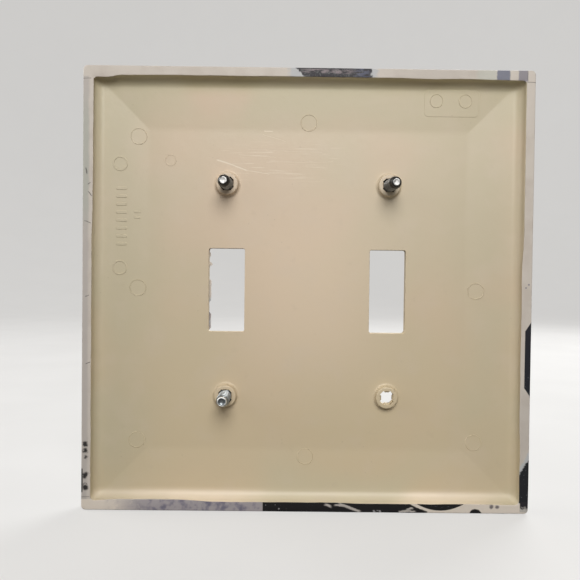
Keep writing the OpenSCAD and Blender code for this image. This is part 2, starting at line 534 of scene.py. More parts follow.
def screw_hole_cutter(centre, rib_r):
    stages = [
        (BOSS_Y + 1.0, hole_outline(HOLE_R + 0.1, GAP_REACH + 0.05)),
        (BOSS_Y - 0.02, hole_outline(HOLE_R - 0.04, GAP_REACH)),
        (BOSS_Y - RIB_TOP, hole_outline(rib_r + 0.06, GAP_REACH)),
        (BOSS_Y - RIB_TOP - 0.15, hole_outline(rib_r, GAP_REACH)),
        (BOSS_Y - RIB_LOW, hole_outline(rib_r, GAP_REACH)),
        (BOSS_Y - RIB_LOW - 0.12, round_outline(HOLE_R)),
        (FACE_Y + SINK_DEPTH, round_outline(HOLE_R)),
        (FACE_Y, round_outline(SINK_R)),
        (FACE_Y - 1.0, round_outline(SINK_R + 0.87)),
    ]
    rings = [[(x + centre[0], y, z + centre[1]) for x, z in ring] for y, ring in stages]
    return loft("hole", rings)


def slot_cutter(x):
    """Toggle opening, a touch wider at the mouth on both faces."""
    stages = (
        (FLOOR_Y + 2.0, 0.10),
        (FLOOR_Y + 0.01, 0.10),
        (FLOOR_Y - 0.10, 0.0),
        (FACE_Y + 0.10, 0.0),
        (FACE_Y - 0.01, 0.10),
        (FACE_Y - 1.0, 0.10),
    )
    rings = []
    for y, grow in stages:
        outline = rounded_rectangle(SLOT_W / 2 + grow, SLOT_H / 2 + grow, 0.6 + grow, 5)
        rings.append([(px + x, y, pz) for px, pz in outline])
    return loft("slot", rings)


def corner_chip(x, z):
    """Bit of flash left across a lower corner of one opening."""
    outline = [(x, z), (x + 1.0, z), (x, z + 1.1)]
    return prism("chip", outline, FLOOR_Y - 0.9, FLOOR_Y - 0.15)


def torn_film(centre):
    """Thin flap of torn plastic across one gap of the empty hole."""
    outline = [(-0.85, -1.15), (-0.35, -1.6), (-0.75, -1.9)]
    outline += [(-1.25, -1.42), (-1.9, -0.75), (-1.62, -0.35)]
    rings = [
        [(x + centre[0], y + 0.08 * rough(x, 0, z, 0.7), z + centre[1]) for x, z in outline]
        for y in (BOSS_Y - 0.62, BOSS_Y - 0.5)
    ]
    return loft("film", rings)


def build_plate():
    plate = plate_body()
    holes = [(place.x, place.z) for place in HOLES.values()]
    gang = HOLES["upper_right"].x
    additions = [boss(centre) for centre in holes]
    additions += [burr_ring(x, z, EJECTOR_R, 1 if z > -20 else -1) for x, z in EJECTOR_MARKS]
    additions += plain_marks()
    boolean(plate, additions, "UNION")
    boolean(plate, [insert_panel()], "UNION")
    boolean(plate, [burr_ring(x, z, DIMPLE_R, 1, PANEL_H) for x, z in DIMPLES], "UNION")
    empty = (HOLES["empty"].x, HOLES["empty"].z)
    cutters = [
        screw_hole_cutter(centre, 1.55 if centre == empty else RIB_R + 0.04) for centre in holes
    ]
    cutters += [slot_cutter(gang), slot_cutter(-gang)]
    boolean(plate, cutters, "DIFFERENCE")
    chip = corner_chip(-gang - SLOT_W / 2 - 0.1, -SLOT_H / 2 - 0.1)
    return boolean(plate, [torn_film(empty), chip], "UNION")


# ---- paper wrap


def overhang(x, z, upright):
    """How far the turned-over paper reaches in past its usual edge, at a place on the rim.

    upright is true on the two strips that run up and down.
    """
    reach = 0.12 * rough(x, 0, z, 9.0, 1) + 0.06 * rough(x, 0, z, 2.2, 2)
    if upright and x > 0:
        reach += 0.10 + 0.32 * smoothstep(5, 40, z)
    elif upright:
        reach += 0.40 * hill(-36, 6, 10, z) + 0.15 * smoothstep(-40, -55, z)
    elif z > 0:
        reach += 0.62 * smoothstep(52.5, 56.0, x) + 0.1 * smoothstep(36, 46, x)
        reach += 0.20 * smoothstep(-15, -35, x) + 0.10 * smoothstep(-48, -57, x)
    else:
        reach += 0.20 * hill(-8, 57, 8, x) + 0.52 * hill(36, 51, 10, x)
        reach += 0.15 * hill(-52, -40, 6, x)
    return reach


def folded_edge(inner, gap):
    """Underside, cut edge and top of the paper where it ends on the rim, uneven all round."""
    under, over, over_mid = [], [], []
    for x, _, z in inner:
        length = math.hypot(x, z)
        back_x, back_z = 0.08 * x / length, 0.08 * z / length
        on_sides = smoothstep(INNER_HALF_W - INNER_CORNER - gap, INNER_HALF_W, abs(x))
        on_ends = smoothstep(INNER_HALF_H - INNER_CORNER - gap, INNER_HALF_H, abs(z))
        side_reach = overhang(x, z, True) * on_sides
        end_reach = overhang(x, z, False) * on_ends
        dx, dz = math.copysign(side_reach, x), math.copysign(end_reach, z)
        sag = 0.22 * max(0.0, max(side_reach, end_reach) - 0.15)
        wave = 0.03 * rough(x, length, z, 5.0, 4)
        under.append((x - dx, RIM_Y + 0.01 - sag, z - dz))
        over.append((x - dx, RIM_Y + PAPER_T * 0.75 - sag + wave * 0.3, z - dz))
        level = wave - sag * 0.8 - 0.005
        over_mid.append((x - dx * 0.9 + back_x, level, z - dz * 0.9 + back_z))
    return [under, over, over_mid]


def paper_body():
    corner_steps, side_steps = 8, 84

    def ring(half_x, half_z, radius, y):
        outline = rounded_rectangle(half_x, half_z, radius, corner_steps, side_steps)
        return [(x, y, z) for x, z in outline]

    gap = 0.1
    inner = ring(INNER_HALF_W + gap, INNER_HALF_H + gap, INNER_CORNER + gap, 0.0)
    back = 0.38
    t = PAPER_T
    flat = []
    for share in (0.25, 0.5, 0.75):
        row = []
        wide = INNER_HALF_W + (HALF_W + t - back - INNER_HALF_W) * share
        tall = INNER_HALF_H + (HALF_H + t - back - INNER_HALF_H) * share
        for x, _, z in ring(wide, tall, CORNER + 0.1, 0.0):
            row.append((x, -0.004 + 0.028 * rough(x, 0, z, 4.0, 5) * (1 - abs(share - 0.5)), z))
        flat.append(row)
    grow = t * math.tan(SLOPE / 2) + FACE_T * math.tan(SLOPE / 2)
    wide = outside_section(
        HALF_W + t, FIELD_HALF_W + grow, RIM_Y + t, FACE_Y - t, EDGE + t
    )
    tall = outside_section(
        HALF_H + t, FIELD_HALF_H + grow, RIM_Y + t, FACE_Y - t, EDGE + t
    )
    levels = heights_of(wide, tall, 3)[::-1]

    def radius_at(y):
        return CORNER + t - 0.45 * smoothstep(FACE_Y + 2.0, FACE_Y + 0.6, y)

    rim_edge = [ring(HALF_W + t - 0.3, HALF_H + t - 0.3, CORNER + t - 0.15, RIM_Y + t - 0.004)]
    outer = rings_at(wide, tall, levels, radius_at, corner_steps, side_steps)
    outer = [
        [
            (
                x + 0.03 * rough(x, y, z, 8.0, 6) * (x > 60 or x < -60),
                y,
                z + 0.03 * rough(x, y, z, 8.0, 7) * (z > 60 or z < -60),
            )
            for x, y, z in row
        ]
        for row in outer
    ]
    # the side against the plate, a hair off it, from the front field back to the rim
    hair = 0.012
    wide = outside_section(HALF_W + hair, FIELD_HALF_W + grow, RIM_Y + hair, FACE_Y - hair, EDGE)
    tall = outside_section(HALF_H + hair, FIELD_HALF_H + grow, RIM_Y + hair, FACE_Y - hair, EDGE)
    levels = heights_of(wide, tall, 3)
    lining = rings_at(wide, tall, levels, lambda y: radius_at(y) - t, corner_steps, side_steps)
    lining.append(ring(HALF_W - 0.3, HALF_H - 0.3, CORNER - 0.1, RIM_Y + hair))
    skins = lining + folded_edge(inner, gap) + flat + rim_edge + outer
    return loft("paper_wrap", skins)


def paper_slot_cutter(x, ragged):
    outline = rounded_rectangle(SLOT_W / 2 + 0.1, SLOT_H / 2 + 0.1, 0.7, 4, 60)
    points = []
    for px, pz in outline:
        edge = 0.05 * rough(px + x, 0, pz, 1.3, 8)
        if ragged and px > 4.5:
            edge += 0.5 * hill(-3.0, 2.6, 0.5, pz) + 0.45 * hill(-11.0, -7.0, 0.5, pz)
            edge += 0.75 * hill(7.0, 7.8, 0.25, pz) + 0.3 * hill(9.8, 10.6, 0.3, pz)
            edge += 0.12 * (1 + rough(px, 3, pz, 0.8, 9))
        inward = edge if px > 0 else -edge
        points.append((px - inward if abs(px) > 4.5 else px, pz - (edge if abs(px) <= 4.5 else 0)))
    return prism("paper_slot", [(px + x, pz) for px, pz in points], FACE_Y - 1.0, FACE_Y + 1.0)


def build_paper():
    paper = paper_body()
    gang = HOLES["upper_right"].x
    cutters = [paper_slot_cutter(gang, True), paper_slot_cutter(-gang, False)]
    for place in HOLES.values():
        outline = []
        for i in range(90):
            a = 2 * math.pi * i / 90
            r = 3.9 + 0.06 * rough(math.cos(a) * 3.9, place.x, math.sin(a) * 3.9, 1.2, 10)
            outline.append((place.x + r * math.cos(a), place.z + r * math.sin(a)))
        cutters.append(prism("paper_hole", outline, FACE_Y - 1.0, FACE_Y + 1.0))
    return boolean(paper, cutters, "DIFFERENCE")


# ---- screws


def thread_radius(turns):
    """Radius across one pitch of a 60 degree thread with small flats."""
    crest, flank, root = 0.16, 0.30, 0.24
    low, rising = crest + flank, crest + flank + root
    profile = ((0, THREAD_R), (crest, THREAD_R), (low, ROOT_R), (rising, ROOT_R), (1, THREAD_R))
    return interpolate(profile, turns % 1.0)


def screw_shank(name, head_y, cupped):
    """Threaded shank from inside the head to the tip, drawn about the Y axis."""
    steps, per_pitch = 64, 16
    neck = head_y + 0.2
    tip = head_y + SCREW_LEN
    full = head_y + 3.2
    end = 1.16 if cupped else 0.94
    rings = []
    y = neck
    while y < tip - 1e-6:
        ring = []
        for i in range(steps):
            a = 2 * math.pi * i / steps
            r = thread_radius((y - neck) / PITCH - i / steps)
            depth = smoothstep(full - 1.4, full, y)
            r = ROOT_R + (r - ROOT_R) * depth
            r = min(r, end + (tip - y) * 1.2, 1.33 + (tip - y - 0.2) * 0.28)
            r += 0.012 * rough(math.cos(a) * 2, y, math.sin(a) * 2, 0.5, 11)
            ring.append((r * math.cos(a), y, r * math.sin(a)))
        rings.append(ring)
        y += PITCH / per_pitch
    if cupped:
        ends = [(end, tip), (end - 0.08, tip + 0.03), (end - 0.16, tip - 0.02)]
        ends += [(0.84, tip - 0.26), (0.6, tip - 0.36), (0.3, tip - 0.40)]
    else:
        ends = [(end, tip), (end - 0.06, tip + 0.015)]
        ends += [(0.75, tip + 0.01), (0.5, tip - 0.015), (0.25, tip - 0.03)]
    for r, level in ends:
        ring = []
        for i in range(steps):
            a = 2 * math.pi * i / steps
            x, z = r * math.cos(a), r * math.sin(a)
            ring.append((x, level + 0.012 * rough(x, 0, z, 0.5, 12), z))
        rings.append(ring)
    return loft(name, rings)


def screw_head(head_y):
    """Oval countersunk head with a driver slot, facing -Y."""
    top = head_y - HEAD_DOME
    dome_r = (HEAD_R * HEAD_R + HEAD_DOME * HEAD_DOME) / (2 * HEAD_DOME)
    spread = math.asin(HEAD_R / dome_r) * 0.985
    neck_r = ROOT_R - 0.1
    cone_end = head_y + HEAD_BAND + (HEAD_R - neck_r) / SINK_SLOPE
    dome = arc((0, top + dome_r), dome_r, -math.pi / 2, -math.pi / 2 + spread, 12)
    profile = [(0, top)] + dome[1:]
    profile += [(HEAD_R, head_y + 0.03), (HEAD_R, head_y + HEAD_BAND)]
    profile += [(neck_r, cone_end), (0, cone_end)]
    head = turned("head", profile, (0, 0), 80)
    half, mouth, deep = 0.55, 0.58, 1.1
    section = [(-mouth, top - 0.5), (-half, top + deep), (half, top + deep), (mouth, top - 0.5)]
    rings = [[(x, y, z) for x, y in section] for z in (-HEAD_R - 1, HEAD_R + 1)]
    return boolean(head, [loft("driver_slot", rings)], "DIFFERENCE")


def build_screw(name, place, turn, lean, cupped):
    """lean is how far the tip stands off the straight axis, in mm, as (x, z)."""
    head_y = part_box(name)[0].y / MM + HEAD_DOME
    screw = boolean(screw_shank(name, head_y, cupped), [screw_head(head_y)], "UNION")
    pivot = Vector((0, PIVOT_Y, 0))
    tilt = Matrix.Rotation(math.atan2(lean[1], LEVER), 4, "X") @ Matrix.Rotation(
        -math.atan2(lean[0], LEVER), 4, "Z"
    )
    spin = Matrix.Rotation(-math.radians(turn), 4, "Y")
    screw.data.transform(
        Matrix.Translation((place.x, 0, place.z))
        @ Matrix.Translation(pivot)
        @ tilt
        @ Matrix.Translation(-pivot)
        @ spin
    )
    return screw


# ---- materials


class Shader:
    """A material whose nodes are written as sums; coordinates are the object's, in mm."""

    def __init__(self, name):
        self.material = bpy.data.materials.new(name)
        self.material.use_nodes = True
        self.nodes = self.material.node_tree.nodes
        self.links = self.material.node_tree.links
        self.nodes.clear()
        place = self.nodes.new("ShaderNodeTexCoord").outputs["Object"]
        scale = self.nodes.new("ShaderNodeVectorMath")
        scale.operation = "SCALE"
        self.plug(scale.inputs[0], place)
        scale.inputs["Scale"].default_value = 1 / MM
        self.place = scale.outputs[0]
        split = self.nodes.new("ShaderNodeSeparateXYZ")
        self.plug(split.inputs[0], self.place)
        self.x, self.y, self.z = split.outputs
        output = self.nodes.new("ShaderNodeOutputMaterial")
        self.bsdf = self.nodes.new("ShaderNodeBsdfPrincipled")
        self.plug(output.inputs["Surface"], self.bsdf.outputs[0])
        self.colour = None

    def plug(self, socket, value):
        if isinstance(value, bpy.types.NodeSocket):
            self.links.new(value, socket)
        elif hasattr(value, "__len__") and len(value) == 3 and len(socket.default_value) == 4:
            socket.default_value = (*value, 1.0)
        else:
            socket.default_value = value

    def fill(self, node, **inputs):
        """Sets or links a node's inputs; an underscore in a name stands for a space."""
        for name, value in inputs.items():
            self.plug(node.inputs[name.replace("_", " ")], value)
        return node

    def surface(self, **inputs):
        """Sets the surface and hands the material over."""
        self.fill(self.bsdf, **inputs)
        return self.material

    def math(self, operation, a, b=0.0):
        node = self.nodes.new("ShaderNodeMath")
        node.operation = operation
        self.plug(node.inputs[0], a)
        self.plug(node.inputs[1], b)
        return node.outputs[0]

    def chain(self, operation, values):
        total = values[0]
        for value in values[1:]:
            total = self.math(operation, total, value)
        return total

    def add(self, *values):
        return self.chain("ADD", values)

    def times(self, *values):
        return self.chain("MULTIPLY", values)

    def highest(self, *values):
        return self.chain("MAXIMUM", values)

    def minus(self, a, b):
        return self.math("SUBTRACT", a, b)

    def rise(self, value, low, high):
        """0 below low, 1 above high, smooth between; low may be the larger."""
        node = self.nodes.new("ShaderNodeMapRange")
        node.interpolation_type = "SMOOTHSTEP"
        ends = (0.0, 1.0) if low <= high else (1.0, 0.0)
        self.fill(node, Value=value, From_Min=min(low, high), From_Max=max(low, high))
        self.fill(node, To_Min=ends[0], To_Max=ends[1])
        return node.outputs["Result"]

    def band(self, value, low, high, soft):
        """1 between low and high, 0 outside, with soft edges."""
        return self.times(
            self.rise(value, low - soft, low + soft), self.rise(value, high + soft, high - soft)
        )

    def scaled(self, x, y, z):
        """The place stretched along the axes, for streaks."""
        node = self.nodes.new("ShaderNodeMapping")
        return self.fill(node, Vector=self.place, Scale=(x, y, z)).outputs[0]

    def noise(self, size, detail=2.0, place=None, distortion=0.0, seed=0.0):
        """Noise near 0.5 with features about size mm across."""
        node = self.nodes.new("ShaderNodeTexNoise")
        node.noise_dimensions = "4D"
        self.fill(node, Vector=place or self.place, W=seed, Scale=1 / size)
        return self.fill(node, Detail=detail, Distortion=distortion).outputs[0]

    def cells(self, size):
        """Distance from the nearest of many scattered points, for specks."""
        node = self.nodes.new("ShaderNodeTexVoronoi")
        return self.fill(node, Vector=self.place, Scale=1 / size).outputs[0]

    def shifted(self, axis, size, amount, seed=0.0):
        """A coordinate moved about by noise, for uneven edges."""
        wander = self.times(self.minus(self.noise(size, 3.0, seed=seed), 0.5), amount * 2)
        return self.add(axis, wander)

    def stroke(self, start, end, width, x=None, z=None):
        """1 along a straight line between two (x, z) places, 0 off it."""
        x, z = x or self.x, z or self.z
        ex, ez = end[0] - start[0], end[1] - start[1]
        length = math.hypot(ex, ez)
        dx, dz = self.minus(x, start[0]), self.minus(z, start[1])
        along = self.add(self.times(dx, ex / length), self.times(dz, ez / length))
        aside = self.math(
            "ABSOLUTE", self.minus(self.times(dx, ez / length), self.times(dz, ex / length))
        )
        ends = self.band(along, 0.0, length, width)
        return self.times(ends, self.rise(aside, width, width * 0.3))

    def strokes(self, rows, x=None, z=None):
        """Several strokes together, each row a start, an end and a width."""
        return self.highest(*(self.stroke(*row, x, z) for row in rows))

    def spot(self, centre, radius, soft, x=None, z=None):
        """1 inside a disc about an (x, z) place, 0 outside it."""
        dx, dz = self.minus(x or self.x, centre[0]), self.minus(z or self.z, centre[1])
        away = self.math("SQRT", self.add(self.times(dx, dx), self.times(dz, dz)))
        return self.rise(away, radius + soft, radius - soft)

    def blend(self, share, a, b):
        node = self.nodes.new("ShaderNodeMix")
        node.data_type = "RGBA"
        self.plug(node.inputs["Factor"], share)
        self.plug(node.inputs[6], a)
        self.plug(node.inputs[7], b)
        return node.outputs[2]

    def paint(self, mask, tone, share=1.0):
        """Lays a tone over the colour so far where the mask is 1."""
        self.colour = self.blend(self.times(mask, share), self.colour, tone)

    def bump(self, height, strength=0.8):
        """Surface relief from a height in mm."""
        node = self.nodes.new("ShaderNodeBump")
        return self.fill(node, Height=height, Distance=MM, Strength=strength).outputs[0]


def linear(red, green, blue):
    """sRGB 0 to 255 as the linear colour Blender works in."""
    def one(v):
        v /= 255
        return v / 12.92 if v <= 0.04045 else ((v + 0.055) / 1.055) ** 2.4

    return one(red), one(green), one(blue)


def edge_distance(s):
    """Distance from the middle, along whichever of X and Z is the larger."""
    return s.highest(s.math("ABSOLUTE", s.x), s.math("ABSOLUTE", s.z))


def plate_wear(s):
    """Scuffs round the middle of the upper half and one curved scratch, as a mask."""
    x = s.shifted(s.x, 6.0, 0.5, seed=7.0)
    z = s.shifted(s.z, 6.0, 0.5, seed=8.0)
    scratch = (
        ((26.0, 37.0), (21.7, 35.8), 0.30),
        ((22.0, 35.9), (17.5, 34.2), 0.26),
        ((17.8, 34.2), (11.1, 33.2), 0.12),
        ((12.6, 45.4), (10.2, 45.3), 0.22),
        ((13.0, 44.4), (6.5, 42.6), 0.07),
        ((20.0, 38.6), (9.0, 38.0), 0.07),
        ((17.0, 40.1), (-4.0, 39.6), 0.06),
        ((12.0, 36.6), (-7.0, 36.9), 0.06),
    )
    streaks = s.noise(1.0, 4.0, place=s.scaled(0.16, 1.0, 2.4), seed=9.0)
    patch = s.times(s.band(s.x, -8.0, 24.0, 6.0), s.band(s.z, 32.0, 42.0, 3.0))
    scuff = s.times(patch, s.rise(streaks, 0.56, 0.68))
    return s.highest(s.times(s.strokes(scratch, x, z), 0.9), s.times(scuff, 0.5))


def ivory_plastic():
    s = Shader("ivory_plastic")
    s.colour = (0.612, 0.530, 0.385)
    s.paint(s.rise(s.noise(38.0, 1.0, seed=1.0), 0.42, 0.62), (0.655, 0.528, 0.392))
    # yellower towards the bottom, so the top keeps a paler, bluer tint: painted sheen of the light
    # from above
    s.paint(s.rise(s.z, 30.0, -50.0), (0.635, 0.525, 0.345), 0.8)
    # warmer and brighter in the middle: a warm tint of the plastic and a painted pool of light
    middle = s.times(s.band(s.x, -18.0, 18.0, 16.0), s.band(s.z, -22.0, 22.0, 18.0))
    s.paint(middle, (0.75, 0.605, 0.455), 0.7)
    # painted light: the bottom inner wall, which faces up to the lamp, lighter
    s.paint(s.rise(s.z, -56.0, -58.2), (0.82, 0.70, 0.54))
    # painted shade: the top inner wall, which faces down, darker and more olive
    s.paint(s.rise(s.z, 54.0, 58.6), (0.54, 0.475, 0.305))
    near_rim = s.rise(edge_distance(s), 36.0, 58.0)
    greenish = s.times(near_rim, s.rise(s.noise(22.0, 1.0, seed=5.0), 0.35, 0.6))
    s.paint(greenish, (0.585, 0.530, 0.375), 0.7)
    s.paint(s.rise(s.math("ABSOLUTE", s.x), 34.0, 56.0), (0.50, 0.445, 0.315), 0.35)
    s.paint(s.rise(s.noise(7.0, 3.0, seed=2.0), 0.45, 0.75), (0.66, 0.56, 0.45), 0.22)
    grime = s.rise(s.noise(3.0, 6.0, seed=3.0), 0.60, 0.78)
    s.paint(grime, (0.42, 0.34, 0.24), 0.10)
    specks = s.rise(s.cells(2.4), 0.10, 0.05)
    scattered = s.times(specks, s.rise(s.noise(14.0, 1.0, seed=6.0), 0.54, 0.66))
    s.paint(scattered, (0.30, 0.24, 0.16), 0.2)
    wear_and_highlight = plate_wear(s)
    s.paint(wear_and_highlight, (0.82, 0.72, 0.58))
    # painted shade: the gaps between the ribs are dark round the three screws
    for corner in ("upper_right", "upper_left", "lower_right"):
        hole = s.spot((HOLES[corner].x, HOLES[corner].z), 2.3, 0.1)
        inside = s.times(hole, s.rise(s.y, BOSS_Y - 0.25, BOSS_Y - 0.45))
        s.paint(inside, (0.06, 0.045, 0.03), 0.9)
    height = s.add(
        s.times(s.noise(0.25, 2.0, seed=10.0), 0.010),
        s.times(s.noise(2.6, 2.0, seed=11.0), 0.035),
        s.times(wear_and_highlight, -0.02),
    )
    return s.surface(
        Base_Color=s.colour,
        Roughness=s.add(0.36, s.times(s.noise(1.5, 4.0, seed=12.0), 0.16), s.times(wear_and_highlight, 0.15)),
        Normal=s.bump(height, 1.0),
        IOR=1.5,
    )


WHITE = (0.60, 0.548, 0.492)
COOL = linear(178, 184, 190)
LILAC = linear(158, 150, 152)
SLATE = linear(112, 110, 124)
NAVY = linear(20, 22, 33)
BLACK = linear(13, 11, 14)
CORNER_Z = 59.0
EDGE_Z = 59.3


class Print(Shader):
    """The printed paper, painted on in layers; wavy and wild are (x, z) with uneven edges."""

    def __init__(self):
        super().__init__("printed_paper")
        self.wavy = (
            self.shifted(self.x, 1.6, 0.5, seed=3.0),
            self.shifted(self.z, 1.6, 0.5, seed=4.0),
        )
        self.wild = (
            self.shifted(self.x, 0.9, 1.2, seed=5.0),
            self.shifted(self.z, 0.9, 1.2, seed=6.0),
        )
        self.grain = self.noise(0.55, 5.0, seed=7.0)
        self.streaky = self.noise(0.9, 4.0, place=self.scaled(0.45, 1.0, 1.6), seed=13.0)
        self.top = self.rise(self.z, CORNER_Z - 0.1, CORNER_Z + 0.1)
        self.low = self.rise(self.z, -CORNER_Z + 0.1, -CORNER_Z - 0.1)
        upright = self.minus(1.0, self.add(self.top, self.low))
        self.right = self.times(self.rise(self.x, 55.0, 57.0), upright)
        self.left = self.times(self.rise(self.x, -55.0, -57.0), upright)
        cloud = self.noise(5.0, 3.0, seed=2.0)
        self.colour = self.blend(self.rise(cloud, 0.42, 0.7), WHITE, (0.55, 0.495, 0.44))


def print_top(s):
    """Upper side: a marbled dark patch with pale ends, a slate patch and a lilac one."""
    x, wild_x = s.wavy[0], s.wild[0]
    outward = s.minus(s.z, EDGE_Z)
    s.paint(s.times(s.top, s.band(wild_x, -18.6, 5.6, 0.8)), COOL, 0.7)
    slanted = s.minus(wild_x, s.times(outward, 0.95))
    marble = s.times(s.top, s.rise(slanted, 1.6, 1.0), s.rise(wild_x, -17.4, -16.8))
    s.paint(marble, linear(38, 35, 42))
    paler = s.times(marble, s.band(s.x, -12.0, 2.0, 2.5), s.band(outward, 1.2, 2.4, 0.25))
    s.paint(s.times(paler, s.rise(s.streaky, 0.42, 0.56)), linear(142, 130, 134), 0.85)
    s.paint(s.times(marble, s.rise(s.grain, 0.52, 0.62)), linear(96, 98, 98), 0.7)
    bluish = s.times(marble, s.band(s.x, -16.5, -12.0, 1.0), s.rise(s.streaky, 0.46, 0.6))
    s.paint(bluish, linear(92, 96, 118), 0.7)
    s.paint(s.times(s.top, s.band(s.x, -52.0, -46.5, 1.0)), linear(190, 196, 186), 0.5)
    s.paint(s.times(s.top, s.band(x, -55.7, -52.0, 0.2)), linear(122, 124, 138))
    s.paint(s.times(s.top, s.band(x, -60.6, -58.0, 0.2)), linear(142, 138, 144))
    s.paint(s.times(s.top, s.band(s.x, -46.0, -24.0, 8.0)), linear(150, 142, 134), 0.22)


def print_low(s):
    """Lower side, from +X: cream, mottled lilac, black with pale swirls, white with dark shapes."""
    depth = s.minus(s.times(s.z, -1.0), EDGE_Z)
    s.paint(s.low, linear(220, 210, 198))
    mottle = s.noise(2.2, 4.0, seed=8.0)
    lilac_zone = s.times(s.low, s.rise(s.x, 11.8, 12.0))
    fading = s.rise(s.add(s.x, s.times(s.minus(mottle, 0.5), 24.0)), 58.0, 43.0)
    s.paint(s.times(lilac_zone, fading), linear(156, 150, 156), 0.9)
    s.paint(s.times(lilac_zone, fading, s.rise(mottle, 0.44, 0.66)), linear(104, 102, 122), 0.85)
    slanted = s.add(s.wavy[0], s.times(depth, 2.0))
    black_zone = s.times(s.low, s.rise(s.x, 12.0, 11.8), s.rise(slanted, -29.4, -28.8))
    s.paint(black_zone, BLACK)
    swirl = (
        ((-5.6, -59.8), (-7.3, -60.5), 0.55),
        ((-9.6, -59.6), (-15.6, -61.9), 0.55),
        ((-8.4, -60.0), (-12.5, -60.4), 0.40),
        ((-26.4, -61.7), (-31.0, -61.5), 0.40),
        ((-28.6, -61.2), (-30.4, -60.6), 0.35),
    )
    s.paint(s.times(black_zone, s.strokes(swirl, *s.wavy)), linear(186, 180, 174), 0.95)
    fringe = s.times(s.band(s.x, -22.0, -19.0, 0.5), s.rise(depth, 1.9, 2.2))
    dots = s.highest(
        s.spot((7.3, -61.2), 0.2, 0.1),
        s.times(fringe, s.rise(s.grain, 0.5, 0.56)),
        s.times(s.band(s.x, 8.0, 11.5, 0.5), s.rise(s.cells(0.9), 0.16, 0.08)),
    )
    s.paint(s.times(black_zone, dots), linear(170, 168, 170), 0.8)
    lens_x, lens_half, lens_depth = -38.0, 6.9, 2.0
    away = s.math("POWER", s.math("ABSOLUTE", s.minus(s.x, lens_x)), 2.0)
    reach = s.minus(lens_depth, s.times(away, lens_depth / lens_half**2))
    lens = s.times(s.low, s.rise(s.minus(reach, depth), -0.08, 0.08))
    s.paint(lens, BLACK)
    s.paint(s.times(lens, s.rise(s.streaky, 0.6, 0.7)), SLATE, 0.5)
    tail = s.stroke((-31.6, -60.6), (-34.4, -61.7), 0.22, *s.wavy)
    s.paint(s.times(s.low, tail), BLACK, 0.9)
    s.paint(s.times(s.low, s.spot((-48.0, -62.4), 1.75, 0.15, *s.wavy)), BLACK)
    smudge = s.highest(
        s.spot((-52.4, -60.0), 0.55, 0.3, *s.wavy), s.spot((-54.1, -60.0), 0.5, 0.3, *s.wavy)
    )
    s.paint(s.times(s.low, smudge), linear(84, 78, 84), 0.85)


def print_right(s):
    """+X side: a cool tint along the outer edge, thin marks and blotches."""
    outer_tint = s.times(s.right, s.rise(s.shifted(s.x, 3.0, 0.5, seed=14.0), 60.7, 61.6))
    s.paint(outer_tint, linear(178, 172, 168), 0.75)
    s.paint(s.times(outer_tint, s.band(s.z, 20.0, 52.0, 6.0)), linear(172, 176, 166), 0.6)
    thin = (
        ((60.3, 25.8), (61.3, 27.2), 0.20),
        ((61.6, 32.0), (62.0, 33.6), 0.24),
        ((60.6, 29.6), (61.4, 29.2), 0.16),
        ((60.4, 18.2), (62.2, 19.0), 0.16),
        ((60.4, -20.4), (61.7, -20.9), 0.18),
        ((61.0, -1.8), (62.0, -2.2), 0.14),
    )
    s.paint(s.strokes(thin, *s.wavy), linear(84, 82, 80), 0.8)
    (x, z), (wild_x, wild_z) = s.wavy, s.wild
    blotches = s.highest(
        s.spot((61.8, -43.5), 0.78, 0.3, wild_x, z),
        s.spot((61.7, -45.4), 0.62, 0.3, wild_x, z),
        s.spot((61.5, -47.2), 0.42, 0.3, wild_x, z),
        s.spot((61.8, -52.3), 0.85, 0.35, wild_x, z),
        s.spot((61.7, -55.7), 0.80, 0.35, x, wild_z),
        s.times(s.band(z, -57.0, -50.4, 0.3), s.rise(s.x, 62.3, 62.5)),
    )
    s.paint(s.times(s.right, blotches), BLACK, 0.95)


def print_left(s):
    """-X side: a navy block with sloped ends, a ragged one to the corner and a pale corner."""
    inward = s.add(s.x, WRAP_HIGH.x)
    s.paint(s.times(s.left, s.band(s.z, -46.0, -27.0, 5.0)), linear(176, 172, 168), 0.25)
    block = s.times(
        s.left,
        s.rise(inward, 1.8, 1.7),
        s.rise(s.add(s.z, s.times(inward, 1.55)), -7.7, -8.0),
        s.rise(s.minus(s.z, s.times(inward, 1.45)), -29.2, -28.9),
    )
    s.paint(block, NAVY)
    edge = s.add(s.z, s.times(inward, 1.7), s.times(s.minus(s.streaky, 0.5), 3.0))
    s.paint(s.times(s.left, s.rise(edge, -43.8, -45.2)), COOL, 0.75)
    ragged = s.times(s.left, s.rise(edge, -45.9, -46.8), s.rise(inward, 2.75, 2.55))
    s.paint(ragged, linear(24, 26, 33))
    flecks = s.highest(
        s.times(ragged, s.rise(s.cells(0.9), 0.14, 0.07)),
        s.times(block, s.rise(s.cells(1.4), 0.09, 0.05)),
    )
    s.paint(flecks, linear(128, 130, 138), 0.8)
    corner = s.times(s.rise(s.x, -60.4, -60.6), s.band(s.z, -61.5, -58.6, 0.15))
    s.paint(corner, linear(36, 34, 40))
    uneven = s.add(s.z, s.times(s.minus(s.grain, 0.5), 3.0))
    s.paint(s.times(corner, s.rise(uneven, -60.0, -61.0)), linear(200, 196, 190), 0.85)
    specks = s.highest(s.spot((-61.9, 2.5), 0.22, 0.12), s.spot((-61.1, 1.6), 0.2, 0.12))
    s.paint(s.times(s.left, specks), SLATE)


def print_front(s):
    """The front, which the photo doesn't show: a plain marbled print."""
    front = s.rise(s.y, -4.6, -5.2)
    veins = s.noise(26.0, 6.0, distortion=1.6, seed=11.0)
    field = s.blend(s.rise(veins, 0.52, 0.60), WHITE, COOL)
    field = s.blend(s.rise(veins, 0.58, 0.63), field, LILAC)
    field = s.blend(s.rise(veins, 0.64, 0.67), field, SLATE)
    field = s.blend(s.rise(veins, 0.69, 0.70), field, NAVY)
    s.paint(s.times(front, s.rise(edge_distance(s), 58.0, 52.0)), field)


